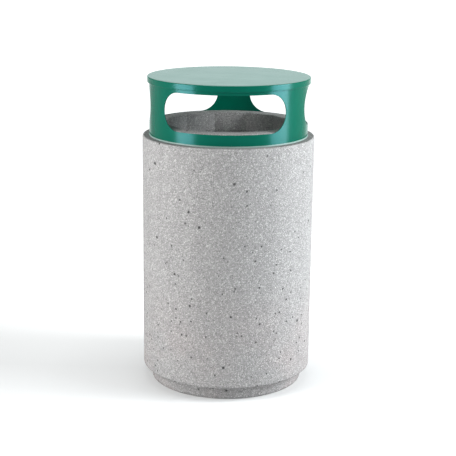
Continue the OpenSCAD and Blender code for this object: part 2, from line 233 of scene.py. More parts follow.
class Finish(NodeTree):
    """A material's node tree around one Principled shader."""

    def __init__(self, name):
        self.material = bpy.data.materials.new(name)
        super().__init__(self.material)
        self.shader = self.tree.nodes["Principled BSDF"]
        self.place = self.node("ShaderNodeTexCoord", out="Object")

    def stretched(self, scale):
        """The object coordinates times a scale along each axis."""
        return self.node("ShaderNodeVectorMath", {"operation": "MULTIPLY"},
                         {0: self.place, 1: scale})

    def turned(self, vector=None):
        """A vector, or the object coordinates, turned about all three axes. So no face of a
        piece lies along the grid that noise is made on, which would show as a smooth band."""
        return self.node("ShaderNodeVectorRotate", {"rotation_type": "EULER_XYZ"}, {
            "Vector": vector or self.place, "Rotation": GRID_TURN})

    def length(self, vector):
        return self.node("ShaderNodeVectorMath", {"operation": "LENGTH"}, {0: vector}, "Value")

    def along(self, axis):
        """The object coordinate along one axis."""
        return self.node("ShaderNodeSeparateXYZ", None, {0: self.place}, axis)

    def noise(self, scale, detail=3.0, roughness=0.5, vector=None):
        return self.node("ShaderNodeTexNoise", None, {
            "Vector": self.turned(vector), "Scale": scale, "Detail": detail,
            "Roughness": roughness}, "Fac")

    def cells(self, scale, vector=None, out="Distance"):
        return self.node("ShaderNodeTexVoronoi", None, {
            "Vector": self.turned(vector), "Scale": scale}, out)

    def channel(self, colour, name="Red"):
        return self.node("ShaderNodeSeparateColor", None, {"Color": colour}, name)

    def ramp(self, value, *stops):
        """A grey ramp through (position, level) stops."""
        return self.channel(self.node("ShaderNodeValToRGB", None, {"Fac": value}, "Color", stops))

    def tint(self, colour, level):
        """A colour times a grey level that varies over the surface."""
        return self.node("ShaderNodeVectorMath", {"operation": "SCALE"}, {
            0: colour, "Scale": level})

    def blend(self, factor, first, second):
        """A mix of two colours, each a signal or three numbers."""
        full = [c if isinstance(c, Signal) else (*c[:3], 1.0) for c in (first, second)]
        return self.node("ShaderNodeMix", {"data_type": "RGBA"}, {
            0: factor, 6: full[0], 7: full[1]}, 2)

    def bump(self, height, distance, strength=1.0):
        return self.node("ShaderNodeBump", None, {
            "Height": height, "Distance": distance, "Strength": strength}, "Normal")

    def set(self, **sockets):
        """Sets or links the shader's sockets; an underscore stands for a space."""
        for name, value in sockets.items():
            if name == "Base_Color" and not isinstance(value, Signal):
                value = (*value[:3], 1.0)
            feed(self.tree, self.shader.inputs[name.replace("_", " ")], value)
        return self


# ---------------------------------------------------------------- finishes

# Heights above the ground and how pale the stone is painted there, as painted shade: the
# plinth's foot, its face, the shade under the body and the body's lower edge
FOOT_PAINTED_SHADE = ((0.0, 0.60), (0.007, 0.92), (0.032, 0.90), (0.039, 0.50), (0.042, 0.70),
              (0.048, 1.0))
# The painted shade on the ledge's top, by height: 50 times the height above the ledge, plus a half
LEDGE_PAINTED_SHADE = ((0.44, 1.0), (0.49, 0.62), (0.51, 0.62), (0.60, 1.0))
# Air holes of three sizes: spacing in grains, inner and outer edge in spacings, and how rare
AIR_HOLES = ((3.6, 0.16, 0.26, 0.86), (7.0, 0.12, 0.18, 0.82), (12.0, 0.09, 0.13, 0.76))
# Inside this radius the stone is the mouth's, which gets none of the ledge's painted shade
MOUTH_RADIUS = 0.205
WARM_TINT = (1.06, 0.97, 0.96)
# How much each thing changes the stone's shade
STONE_SHADE = 0.82
CLOUD_SHADE = 0.12
SAND_SHADE = 0.8
STREAK_SHADE = 0.18
DARK_GRAIN_SHADE = 0.28
LIGHT_GRAIN_SHADE = 0.60
HOLE_SHADE = 0.75
STONE_RELIEF = 0.9 * MM


def stone_finish(colour, grain):
    """Cast stone: a pale ground with light and dark grains of two sizes, fine sand, faint
    clouds, streaks that run down from the top edge, and scattered ragged air holes that get
    fewer towards the top. Painted shade darkens the plinth, most of all at its foot and under
    the body, and the ledge's top face."""
    f = Finish("cast_stone")
    height = f.along("Z")
    clouds = f.noise(5.0, 4.0, 0.6)
    sand = f.noise(1.3 / grain, 2.0, 0.7)
    streaks = f.noise(22.0, 3.0, 0.6, f.stretched((1.0, 1.0, 0.07)))
    warp = f.node("ShaderNodeTexNoise", None, {
        "Vector": f.turned(), "Scale": 0.8 / grain, "Detail": 2.0}, "Color")
    ragged = f.node("ShaderNodeVectorMath", {"operation": "ADD"}, {
        0: f.place, 1: f.tint(warp, 0.5 * grain)})
    light_grains, dark_grains = 0.0, 0.0
    for size in (1.15 * grain, 0.75 * grain):
        draw = f.channel(f.cells(1 / size, ragged, "Color"))
        spot = f.ramp(f.cells(1 / size, ragged), (0.28, 1.0), (0.58, 0.0))
        dark_grains = dark_grains + spot * f.ramp(draw, (0.14, 1.0), (0.34, 0.0))
        light_grains = light_grains + spot * f.ramp(draw, (0.60, 0.0), (0.88, 1.0))
    holes = 0.0
    fewer = f.ramp(height, (0.25, 0.0), (0.70, 0.12))
    for spacing, low, high, rare in AIR_HOLES:
        scale = 1 / (spacing * grain)
        draw = f.channel(f.cells(scale, ragged, "Color"), "Green") - fewer
        holes = holes + f.ramp(f.cells(scale, ragged), (low, 1.0), (high, 0.0)) * f.ramp(
            draw, (rare, 0.0), (rare + 0.04, 1.0))
    inside = f.length(f.stretched((1.0, 1.0, 0.0))) < MOUTH_RADIUS
    # Painted shade: the stone is darker at the plinth's foot, under the body and on the ledge's top
    painted_shade = f.ramp(height, *FOOT_PAINTED_SHADE) * f.ramp(
        50 * (height - LEDGE_Z) + 0.5 + inside, *LEDGE_PAINTED_SHADE)
    level = (STONE_SHADE + CLOUD_SHADE * clouds + SAND_SHADE * (sand - 0.5)
             + STREAK_SHADE * (streaks - 0.5) - DARK_GRAIN_SHADE * dark_grains
             + LIGHT_GRAIN_SHADE * light_grains) * (1 - HOLE_SHADE * holes) * painted_shade
    relief = 0.6 * sand + 0.3 * light_grains - 0.4 * dark_grains - 2.5 * holes
    warm = f.ramp(height, (0.02, 0.9), (0.35, 0.0)) * f.ramp(clouds, (0.4, 0.0), (0.65, 1.0))
    ground = f.blend(warm, colour, [c * k for c, k in zip(colour, WARM_TINT)])
    f.set(Base_Color=f.tint(ground, level), Roughness=0.88 - 0.12 * light_grains,
          Normal=f.bump(relief, STONE_RELIEF), Specular_IOR_Level=0.3)
    return f.material


def coat_finish(colour):
    """Semi-gloss powder coat: an even colour with very fine orange peel under a clear sheen."""
    f = Finish("green_powder_coat")
    peel = f.noise(520.0, 2.0, 0.5)
    drift = f.noise(14.0, 2.0, 0.5)
    f.set(Base_Color=f.tint(colour, 0.95 + 0.10 * drift), Roughness=0.19 + 0.05 * drift,
          Normal=f.bump(peel, 0.03 * MM, 0.4), Metallic=0.0, Specular_IOR_Level=0.42,
          Specular_Tint=(0.30, 0.80, 1.0, 1.0))
    return f.material


def strip_highlight_finish(colour):
    """Satin edge strip with faint handling marks, pale as a painted highlight."""
    f = Finish("edge_strip")
    marks = f.noise(160.0, 3.0, 0.6)
    f.set(Base_Color=f.tint(colour, 0.92 + 0.16 * marks), Roughness=0.30 + 0.15 * marks)
    return f.material


def zinc_finish(colour):
    """Hot-dip galvanised sheet: flat crystals a few millimetres across, each its own grey."""
    f = Finish("galvanised_sheet")
    warp = f.noise(60.0, 2.0, 0.5)
    crystal = f.channel(f.cells(150.0, out="Color"))
    dull = f.noise(22.0, 3.0, 0.6)
    f.set(Base_Color=f.tint(colour, 0.78 + 0.24 * crystal + 0.16 * (dull - 0.5)),
          Roughness=0.34 + 0.18 * crystal + 0.12 * dull, Metallic=0.85,
          Normal=f.bump(crystal + 0.6 * warp, 0.06 * MM, 0.6))
    return f.material


def stainless_finish(colour):
    """Brushed stainless steel: fine lines along X and a little handling dullness."""
    f = Finish("brushed_stainless")
    lines = f.noise(900.0, 2.0, 0.6, f.stretched((0.05, 1.0, 1.0)))
    dull = f.noise(55.0, 3.0, 0.6)
    f.set(Base_Color=f.tint(colour, 0.86 + 0.20 * lines), Metallic=1.0,
          Roughness=0.24 + 0.16 * dull + 0.10 * lines,
          Normal=f.bump(lines, 0.03 * MM, 0.5))
    return f.material


def plastic_finish(colour):
    """Moulded black plastic with a fine leather-like grain."""
    f = Finish("black_plastic")
    grain = f.cells(1400.0)
    wear = f.noise(70.0, 3.0, 0.6)
    f.set(Base_Color=f.tint(colour, 0.85 + 0.5 * wear), Roughness=0.48 + 0.2 * wear,
          Normal=f.bump(grain, 0.06 * MM, 0.6))
    return f.material


FINISHES = {}


def finishes():
    """Every finish by its material slot, made once."""
    if not FINISHES:
        colours, sizes = bpy.context.scene.bin_colours, bpy.context.scene.bin_sizes
        FINISHES.update({
            "concrete": stone_finish(colours.stone, sizes.grain_size),
            "green_coat": coat_finish(colours.coat),
            "edge_strip": strip_highlight_finish(colours.strip),
            "zinc": zinc_finish(colours.zinc),
            "stainless": stainless_finish(colours.stainless),
            "black_plastic": plastic_finish(colours.plastic)})
    return FINISHES


# ---------------------------------------------------------------- surfaces

def ring_faces(rows, columns, close_rows, close_columns):
    """Quads of a grid whose points are numbered row by row, with each way closed or open."""
    index = np.arange(rows * columns).reshape(rows, columns)
    if close_rows:
        index = np.vstack([index, index[:1]])
    if close_columns:
        index = np.hstack([index, index[:, :1]])
    return np.stack([index[:-1, :-1], index[1:, :-1], index[1:, 1:], index[:-1, 1:]],
                    -1).reshape(-1, 4)


def surface(name, parts, sharp=30.0):
    """One mesh object from (points, faces) parts. Doubled points are merged, so poles close,
    faces are turned outwards and edges sharper than an angle in degrees are kept crisp."""
    mesh = bpy.data.meshes.new(name)
    points, faces, count = [], [], 0
    for co, quads in parts:
        points.append(co.reshape(-1, 3))
        faces.extend((quads + count).tolist())
        count += len(points[-1])
    mesh.from_pydata(np.vstack(points), [], faces)
    work = bmesh.new()
    work.from_mesh(mesh)
    bmesh.ops.remove_doubles(work, verts=work.verts, dist=2 * CLOSE)
    bmesh.ops.dissolve_degenerate(work, edges=work.edges, dist=CLOSE)
    bmesh.ops.recalc_face_normals(work, faces=work.faces)
    work.to_mesh(mesh)
    work.free()
    return placed(name, mesh, sharp)


def placed(name, mesh, sharp):
    """An object at the origin whose mesh is smooth but for edges sharper than an angle."""
    mesh.shade_smooth()
    mesh.set_sharp_from_angle(angle=math.radians(sharp))
    piece = bpy.data.objects.new(name, mesh)
    bpy.context.scene.collection.objects.link(piece)
    return piece


def rounded(corners, radii, runs, bend=5):
    """A closed outline with its corners rounded. Each corner becomes a parabola that leaves
    the side before it and meets the side after it at one distance from the corner, and each
    side gets its own number of even steps. corners is (corner, column, 2), and the result is
    (point, column, 2)."""
    before = np.roll(corners, 1, 0) - corners
    after = np.roll(corners, -1, 0) - corners
    long_before = np.maximum(np.linalg.norm(before, axis=2, keepdims=True), CLOSE)
    long_after = np.maximum(np.linalg.norm(after, axis=2, keepdims=True), CLOSE)
    reach = np.asarray(radii)[:, None, None]
    reach = np.minimum(reach, 0.49 * np.minimum(long_before, long_after))
    enter = corners + before / long_before * reach
    leave = corners + after / long_after * reach
    points = []
    for i in range(len(corners)):
        if radii[i] > 0:
            t = np.linspace(0, 1, bend + 1)[:, None, None]
            points.append((1 - t) ** 2 * enter[i] + 2 * t * (1 - t) * corners[i]
                          + t ** 2 * leave[i])
        else:
            points.append(corners[i][None])
        nxt = (i + 1) % len(corners)
        t = np.linspace(0, 1, runs[i] + 1)[1:-1, None, None]
        points.append((1 - t) * leave[i] + t * enter[nxt])
    return np.concatenate(points)


def around(outline, angles):
    """Turns an outline of (radius, height) points, one outline or one for each angle, about
    the Z axis: x is radius times the sine of the azimuth and y is minus radius times its
    cosine."""
    radius, height = outline[..., 0], outline[..., 1]
    if outline.ndim == 2:
        radius, height = radius[:, None], height[:, None]
    a = angles[None, :]
    return np.stack([radius * np.sin(a), -radius * np.cos(a), height + 0 * a], -1)


def full_turn(columns):
    """Even angles all the way round, without the last one."""
    return np.linspace(0, math.tau, columns, endpoint=False)


def lathe(name, outline, columns):
    """A ring made by turning one closed outline of (radius, height) points all the way."""
    points = around(outline, full_turn(columns))
    return surface(name, [(points, ring_faces(*points.shape[:2], True, True))])


def swept(name, centre, across, radius, sides):
    """A closed tube that lies flat: at each station the ring is centre plus radius times (the
    cosine of the ring's angle times across plus its sine times the Z axis). The first and last
    stations are repeated with no radius, so the tube is closed at both ends."""
    centre = np.concatenate([centre[:1], centre, centre[-1:]])
    across = np.concatenate([across[:1], across, across[-1:]])
    radius = np.concatenate([[0], radius, [0]])
    a = full_turn(sides)[None, :, None]
    points = (centre[:, None] + radius[:, None, None]
              * (np.cos(a) * across[:, None] + np.sin(a) * np.array([0.0, 0.0, 1.0])))
    return surface(name, [(points, ring_faces(len(centre), sides, False, True))])


def bevelled(piece, width, angle):
    """Rounds the edges of a piece that are sharper than an angle in degrees."""
    ease = piece.modifiers.new("ease", "BEVEL")
    ease.width = width
    ease.segments = 3
    ease.limit_method = "ANGLE"
    ease.angle_limit = math.radians(angle)
    ease.harden_normals = True


def dressed(piece, body, slot, *nodes):
    """Gives a piece its finish, its body and the CAD nodes that it stands for."""
    piece.data.materials.clear()
    piece.data.materials.append(finishes()[slot])
    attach(piece, body)
    if nodes:
        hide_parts(*nodes)
    return piece


def body_of_node(node):
    """The name of the body that a CAD node rides on."""
    bodies = frame["record"]["behaviour"]["bodies"]
    return next(name for name, nodes in bodies.items() if node in nodes)


def slot_of_node(node):
    """The material slot of a CAD node."""
    return next(s["material_slot"] for s in frame["record"]["subparts"] if s["node"] == node)


# ---------------------------------------------------------------- operators

class BIN_OT_stage(bpy.types.Operator):
    """Adds the camera, the soft lights and the pale floor"""

    bl_idname = "bin.stage"
    bl_label = "Stage"

    def execute(self, context):
        add_camera()
        add_floor()
        add_lights()
        add_sky()
        return {"FINISHED"}


CAMERA_AZIMUTH = math.radians(3.8)
CAMERA_DISTANCE = 3.4343
CAMERA_HEIGHT = 1.3278
CAMERA_PITCH = 0.2497
CAMERA_ROLL = 0.0108
CAMERA_SIDE = 0.0015
CAMERA_LENS = 94.17
SENSOR_WIDTH = 36


def add_camera():
    """A camera at the bin's front, turned a little towards +X, level with eyes and tipped
    down. Its side offset, pitch and roll set the framing."""
    data = bpy.data.cameras.new("camera")
    data.lens = CAMERA_LENS
    data.sensor_width = SENSOR_WIDTH
    data.clip_end = 200
    camera = bpy.data.objects.new("camera", data)
    bpy.context.scene.collection.objects.link(camera)
    s, c = math.sin(CAMERA_AZIMUTH), math.cos(CAMERA_AZIMUTH)
    camera.location = (CAMERA_DISTANCE * s + CAMERA_SIDE * c,
                       -CAMERA_DISTANCE * c + CAMERA_SIDE * s, CAMERA_HEIGHT)
    look = Vector((-s * math.cos(CAMERA_PITCH), c * math.cos(CAMERA_PITCH),
                   -math.sin(CAMERA_PITCH)))
    turn = look.to_track_quat("-Z", "Y")
    camera.rotation_mode = "QUATERNION"
    camera.rotation_quaternion = turn @ Quaternion((0, 0, 1), CAMERA_ROLL)
    bpy.context.scene.camera = camera


FLOOR_RADIUS = 30.0
FLOOR_GREY = (0.66, 0.66, 0.66)
# Where the pale wedge of floor behind the bin starts, in front of the bin
WEDGE_START = 3.6


def add_floor():
    """A wide round pale floor. It glows softly around the bin, in a wedge that opens behind
    the bin, and far away, so that it fades into the pale surroundings. The wedge is where X
    over the distance back from its start is small."""
    mesh = bpy.data.meshes.new("floor")
    a = full_turn(96)
    rim = FLOOR_RADIUS * np.stack([np.cos(a), np.sin(a), 0 * a], -1)
    mesh.from_pydata(rim.tolist(), [], [list(range(len(a)))])
    floor = bpy.data.objects.new("floor", mesh)
    bpy.context.scene.collection.objects.link(floor)
    f = Finish("pale_floor")
    across, back, distance = f.along("X"), f.along("Y"), f.length(f.place)
    spread = abs(across) / (back + WEDGE_START)
    wedge = f.ramp(spread, (0.24, 1.0), (0.40, 0.0)) * f.ramp(back * 0.25, (0.0, 0.0), (0.4, 1.0))
    near = f.ramp(distance, (0.55, 1.0), (1.0, 0.0))
    far = f.ramp(distance * 0.1, (0.44, 0.0), (0.80, 1.0))
    glow = 0.07 + 0.10 * near + 0.80 * wedge + 0.36 * far
    f.set(Base_Color=f.tint(FLOOR_GREY, 0.99 + 0.01 * f.noise(3.0)), Roughness=0.9,
          Specular_IOR_Level=0.1, Emission_Color=f.tint((1.0, 1.0, 1.0), glow),
          Emission_Strength=1.0)
    mesh.materials.append(f.material)


WHITE = (1.0, 1.0, 1.0)
COOL = (0.90, 0.96, 1.0)
# Each light: azimuth in degrees, distance, height of its middle, width, height, watts, colour
LIGHTS = {
    "left": (-59, 2.8, 1.25, 1.5, 2.3, 98, WHITE),
    "right": (79, 2.8, 1.2, 1.6, 2.1, 97, COOL),
    "key": (88, 2.6, 2.1, 0.9, 0.9, 54, WHITE),
    "top": (0, 0.1, 3.2, 1.8, 1.8, 36, WHITE)}
LIGHT_AIM_HEIGHT = 0.6
SKY_COLOUR = (0.88, 1.0, 1.0, 1.0)
SKY_FRONT, SKY_SIDE, SKY_BACK = 0.12, 0.26, 1.16


def add_lights():
    """Tall soft lights at both sides, a small high one at the right that reaches into the
    mouth, and a wide one overhead."""
    for name, (azimuth, distance, height, width, tall, power, colour) in LIGHTS.items():
        light = bpy.data.lights.new(name + "_light", "AREA")
        light.shape = "RECTANGLE"
        light.size, light.size_y = width, tall
        light.energy = power
        light.color = colour
        lamp = bpy.data.objects.new(name + "_light", light)
        a = math.radians(azimuth)
        lamp.location = (distance * math.sin(a), -distance * math.cos(a), height)
        lamp.rotation_mode = "QUATERNION"
        aim = Vector((0, 0, LIGHT_AIM_HEIGHT)) - lamp.location
        lamp.rotation_quaternion = aim.to_track_quat("-Z", "Y")
        bpy.context.scene.collection.objects.link(lamp)


def add_sky():
    """A sky that is pale behind the bin and darker in front of it. Its strength rises in two
    smooth steps with how far back a direction points."""
    world = bpy.data.worlds.new("studio")
    w = NodeTree(world)
    direction = w.node("ShaderNodeTexCoord", out="Generated")
    backward = w.node("ShaderNodeSeparateXYZ", None, {0: direction}, "Y")

    def step(start, end, low, high):
        return w.node("ShaderNodeMapRange", {"interpolation_type": "SMOOTHSTEP"}, {
            "Value": backward, "From Min": start, "From Max": end, "To Min": low,
            "To Max": high})

    background = w.tree.nodes["Background"]
    feed(w.tree, background.inputs["Color"], SKY_COLOUR)
    feed(w.tree, background.inputs["Strength"],
         step(-0.6, 0.2, SKY_FRONT, SKY_SIDE) + step(0.86, 0.97, 0.0, SKY_BACK - SKY_SIDE))
    bpy.context.scene.world = world
    bpy.context.scene.view_settings.view_transform = "Standard"


class BIN_OT_concrete_body(bpy.types.Operator):
    """Adds the cast-stone body with its plinth, ledge, collar and twelve-sided cavity"""

    bl_idname = "bin.concrete_body"
    bl_label = "Concrete Body"

    def execute(self, context):
        dressed(concrete_body(context.scene.bin_sizes), "root", "concrete", "concrete_body")
        return {"FINISHED"}


CAVITY_FLATS = 12
COLUMNS_PER_FLAT = 40
HINGE_AZIMUTH = math.pi
HINGE_SEAT_DEPTH = 50 * MM
LOCK_AZIMUTH = math.radians(105)
# The lock pocket: its back's distance from the axis, its reach to each side of the lock, and
# how far its floor is below the ledge
POCKET_BACK_R = 200 * MM
POCKET_FRONT = 40 * MM
POCKET_REAR = 20 * MM
POCKET_DEPTH = 10 * MM
# Half the angle between the two columns that make a pocket's side a step
STEP_ANGLE = 1e-5


def concrete_body(sizes):
    """The body is one closed outline turned about the axis, with three things that change it
    with azimuth. The cavity's radius is the distance to the flats over the cosine of the angle
    from the nearest flat's middle. The hinge seat is a plane: near the hinge the outer radius
    is no more than the plane's distance over the cosine of the angle from the hinge. In the
    lock pocket the ledge drops and the collar's face steps back to a plane."""
    first = math.pi / 2 + sizes.cavity_turn
    seat_y = SEAT_LOW.y
    seat_half = math.acos(seat_y / sizes.body_radius)
    pocket_from = LOCK_AZIMUTH - math.asin(POCKET_FRONT / sizes.collar_radius)
    pocket_to = LOCK_AZIMUTH + math.asin(POCKET_REAR / sizes.collar_radius)
    edges = [pocket_from - STEP_ANGLE, pocket_from + STEP_ANGLE, pocket_to - STEP_ANGLE,
             pocket_to + STEP_ANGLE, HINGE_AZIMUTH - seat_half, HINGE_AZIMUTH + seat_half]
    angles = first + full_turn(CAVITY_FLATS * COLUMNS_PER_FLAT)
    angles = np.sort(np.concatenate([angles % math.tau, edges]))
    step = math.tau / CAVITY_FLATS
    from_flat = (angles - first) % step - step / 2
    cavity = sizes.cavity_flat / np.cos(from_flat)
    in_pocket = (angles > pocket_from) & (angles < pocket_to)
    collar = np.where(in_pocket, POCKET_BACK_R / np.cos(angles - LOCK_AZIMUTH),
                      sizes.collar_radius)
    low = np.where(in_pocket, LEDGE_Z - POCKET_DEPTH, LEDGE_Z)
    from_hinge = angles - HINGE_AZIMUTH
    on_seat = np.abs(from_hinge) < seat_half + STEP_ANGLE
    seat = np.where(on_seat, seat_y / np.cos(from_hinge), sizes.body_radius)
    seat_z = LEDGE_Z - HINGE_SEAT_DEPTH
    one = np.ones_like(angles)

    def corner(radius, height):
        return np.stack([radius * one, height * one], -1)

    drain = SLEEVE_HIGH.x
    soft = sizes.edge_round
    # Each corner, its rounding, and the number of steps to the next one
    corners, radii, runs = zip(
        (corner(drain, 0), 1 * MM, 6),
        (corner(sizes.plinth_radius, 0), 5 * MM, 3),
        (corner(sizes.plinth_radius, sizes.plinth_height), 4 * MM, 2),
        (corner(sizes.body_radius, sizes.plinth_height), soft, 40),
        (corner(sizes.body_radius, seat_z), 0, 1),
        (corner(seat, seat_z), 0, 4),
        (corner(seat, LEDGE_Z), soft, 3),
        (corner(sizes.collar_radius, LEDGE_Z), 0, 1),
        (corner(sizes.collar_radius, low), 0, 1),
        (corner(collar, low), 0, 4),
        (corner(collar, COLLAR_TOP), 4 * MM, 5),
        (corner(cavity, COLLAR_TOP), 3 * MM, 30),
        (corner(cavity, FLOOR_TOP), 6 * MM, 6),
        (corner(drain, FLOOR_TOP), 2 * MM, 5))
    points = around(rounded(np.stack(corners), radii, runs), angles)
    return surface("stone_body", [(points, ring_faces(*points.shape[:2], True, True))], 28)


class BIN_OT_hood_band(bpy.types.Operator):
    """Adds the hood's rolled band with its three long openings"""

    bl_idname = "bin.hood_band"
    bl_label = "Hood Band"

    def execute(self, context):
        sizes = context.scene.bin_sizes
        piece = dressed(hood_band(sizes), "hood", "green_coat", "hood_band")
        thicken(piece, sizes.band_thickness, sizes.sheet_round)
        return {"FINISHED"}


OPENING_COUNT = 3


def hood_band(sizes):
    """Three cells, one for each opening, of a sheet on the band's outer radius. Around a cell
    runs one parameter: along the opening's lower edge, round its end, along its upper edge and
    round its other end. A second one goes from the opening's edge out to the cell's border in
    even steps. An end is a radial hole: its azimuth is the arc sine of the hole's radius times
    the cosine of the turn, over the band's radius."""
    radius = BAND_RADIUS
    half = sizes.opening_height / 2
    middle = LEDGE_Z + sizes.sill_height + half
    end = sizes.opening_span / 2 - math.asin(half / radius)
    border = math.pi / OPENING_COUNT
    low, high = LEDGE_Z, BAND_HIGH.z
    side = (border - end) * radius
    turn_low = math.atan2(low - middle, side)
    turn_high = math.atan2(high - middle, side)
    turn = np.concatenate([
        np.linspace(-math.pi / 2, turn_low, 12, endpoint=False),
        np.linspace(turn_low, turn_high, 26, endpoint=False),
        np.linspace(turn_high, math.pi / 2, 13)])
    hole_a = end + np.arcsin(half * np.cos(turn) / radius)
    hole_z = middle + half * np.sin(turn)
    reach = np.minimum(side / np.maximum(np.cos(turn), CLOSE),
                       np.where(np.sin(turn) < 0, middle - low, high - middle)
                       / np.maximum(np.abs(np.sin(turn)), CLOSE))
    edge_a = end + reach * np.cos(turn) / radius
    edge_z = middle + reach * np.sin(turn)
    flat = np.linspace(-end, end, 70)[1:-1]
    inner = np.concatenate([
        np.stack([flat, 0 * flat + middle - half], -1), np.stack([hole_a, hole_z], -1),
        np.stack([-flat, 0 * flat + middle + half], -1),
        np.stack([-hole_a[::-1], hole_z[::-1]], -1)])
    outer = np.concatenate([
        np.stack([flat, 0 * flat + low], -1), np.stack([edge_a, edge_z], -1),
        np.stack([-flat, 0 * flat + high], -1),
        np.stack([-edge_a[::-1], edge_z[::-1]], -1)])
    t = np.linspace(0, 1, 9)[:, None, None]
    cell = (1 - t) * inner + t * outer
    parts = []
    for k in range(OPENING_COUNT):
        a = cell[..., 0] + k * math.tau / OPENING_COUNT
        points = np.stack([radius * np.sin(a), -radius * np.cos(a), cell[..., 1]], -1)
        parts.append((points, ring_faces(*points.shape[:2], False, True)[:, ::-1]))
    return surface("band", parts)


def thicken(piece, thickness, rounding):
    """Gives a sheet its wall, inwards from its outer face, and rounds its cut edges."""
    wall = piece.modifiers.new("wall", "SOLIDIFY")
    wall.thickness = thickness
    wall.offset = -1
    wall.use_even_offset = True
    bevelled(piece, rounding, 50)


class BIN_OT_hood_cap(bpy.types.Operator):
    """Adds the flat cap with its turned-down flange and its studs"""

    bl_idname = "bin.hood_cap"
    bl_label = "Hood Cap"

    def execute(self, context):
        dressed(hood_cap(), "hood", "green_coat", "hood_cap")
        dressed(cap_studs(), "hood", "green_coat", "hood_cap")
        return {"FINISHED"}


CAP_SHEET = 3 * MM
STUD_RADIUS = 3 * MM
STUD_LENGTH = 13 * MM
STUD_CHAMFER = 0.6 * MM
STUD_CIRCLE = 214 * MM
STUD_COUNT = 6


def hood_cap():
    """A closed outline turned about the axis: the flat top, a rounded outer edge, the flange,
    its rolled lower edge, and back under the sheet with a rounded inner corner."""
    under = CAP_TOP - CAP_SHEET
    inside = CAP_RADIUS - CAP_SHEET
    # Each corner, its rounding, and the number of steps to the next one
    corners, radii, runs = zip(
        ((0, CAP_TOP), 0, 12), ((CAP_RADIUS, CAP_TOP), 3.2 * MM, 3),
        ((CAP_RADIUS, CAP_LOW.z), 1.1 * MM, 1), ((inside, CAP_LOW.z), 1.1 * MM, 3),
        ((inside, under), 2 * MM, 12), ((0, under), 0, 1))
    outline = rounded(np.array(corners)[:, None, :], radii, runs)[:, 0]
    return lathe("cap", outline, 360)


def cap_studs():
    """Short round studs with a small chamfer, each an outline turned about its own axis."""
    high = CAP_TOP - CAP_SHEET
    low = high - STUD_LENGTH
    outline = np.array([(0, low), (STUD_RADIUS - STUD_CHAMFER, low),
                        (STUD_RADIUS, low + STUD_CHAMFER), (STUD_RADIUS, high), (0, high)])
    turned = around(outline, full_turn(24))
    parts = []
    for i in range(STUD_COUNT):
        a = (i + 0.5) * math.tau / STUD_COUNT
        at = np.array([STUD_CIRCLE * math.cos(a), STUD_CIRCLE * math.sin(a), 0])
        parts.append((turned + at, ring_faces(*turned.shape[:2], False, True)))
    return surface("cap_studs", parts)


class BIN_OT_edge_strip(bpy.types.Operator):
    """Adds the strip along the band's lower edge, pale as a painted highlight"""

    bl_idname = "bin.edge_strip"
    bl_label = "Edge Strip"

    def execute(self, context):
        dressed(edge_strip(), "hood", "edge_strip", "hood_edge_trim")
        return {"FINISHED"}


# Half the gap in the strip where the hinge's leaf is
STRIP_GAP = 36 * MM


def edge_strip():
    """A small rounded section carried around the band, open where the hinge is. The section
    shrinks to its middle at both ends, so the strip is closed."""
    inner, outer = BAND_RADIUS, STRIP_HIGH.x
    low, high = STRIP_LOW.z, STRIP_HIGH.z
    corners = np.array([(inner, low), (outer, low), (outer, high), (inner, high)])[:, None, :]
    section = rounded(corners, [0, 0.7 * MM, 0.7 * MM, 0], [1, 2, 1, 1])
    stop = math.asin(STRIP_GAP / inner)
    angles = np.linspace(-math.pi + stop, math.pi - stop, 360)
    middle = np.broadcast_to(section.mean(0), (len(section), 2))[:, None, :]
    line = np.concatenate([middle, section.repeat(len(angles), 1), middle], 1)
    points = around(line, np.concatenate([angles[:1], angles, angles[-1:]]))
    return surface("lower_edge_strip", [(points, ring_faces(*points.shape[:2], True, False))])


class BIN_OT_liner(bpy.types.Operator):
    """Adds the galvanised liner with its swages and rolled rim"""

    bl_idname = "bin.liner"
    bl_label = "Liner"

    def execute(self, context):
        dressed(liner(), "liner", "zinc", "liner_shell", "liner_rim_wire")
        return {"FINISHED"}


LINER_WALL_R = 165 * MM
SWAGE_HEIGHTS = (0.20, 0.39, 0.58)
SWAGE_DEPTH = 1.6 * MM
SWAGE_WIDTH = 5 * MM


def liner():
    """A closed outline turned about the axis: up the outside, round the rolled bead and down
    the inside. Three swages push the wall out and back: a bell curve of height is added to
    the wall's radius."""
    bead_z = (WIRE_LOW.z + WIRE_HIGH.z) / 2
    bead_r = LINER_HIGH.z - bead_z
    bead_at = LINER_HIGH.x - bead_r
    wall_z = np.linspace(LINER_LOW.z, bead_z - bead_r, 120)
    swage = sum(SWAGE_DEPTH * np.exp(-((wall_z - z) / SWAGE_WIDTH) ** 2)
                for z in SWAGE_HEIGHTS)
    turn = np.linspace(-0.75 * math.pi, 0.92 * math.pi, 28)
    bead = np.stack([bead_at + bead_r * np.cos(turn), bead_z + bead_r * np.sin(turn)], -1)
    outline = np.concatenate([
        np.stack([LINER_WALL_R + swage, wall_z], -1), bead,
        np.stack([BASE_HIGH.x + swage, wall_z], -1)[::-1]])
    return lathe("liner_can", outline, 288)


class BIN_OT_bail(bpy.types.Operator):
    """Adds the liner's folding handle and its grip"""

    bl_idname = "bin.bail"
    bl_label = "Bail Handle"

    def execute(self, context):
        dressed(bail_wire(), "bail", "zinc", "bail_handle")
        dressed(bail_grip(), "bail", "black_plastic", "bail_grip")
        return {"FINISHED"}


BAIL_RADIUS = 3 * MM
BAIL_BEND = 169 * MM
BAIL_Z = (BAIL_LOW.z + BAIL_HIGH.z) / 2
BAIL_PIN_END = 155.2 * MM
ELBOW = 7 * MM
HEAD_STEP = 1.5 * MM
HEAD_LENGTH = 3.2 * MM
HEAD_SLOPE = 1 * MM
HEAD_CHAMFER = 0.6 * MM
GRIP_SPAN = math.radians(36)
GRIP_END = 3 * MM
RIB_DEPTH = 0.35 * MM
RIB_PITCH = 4.2 * MM


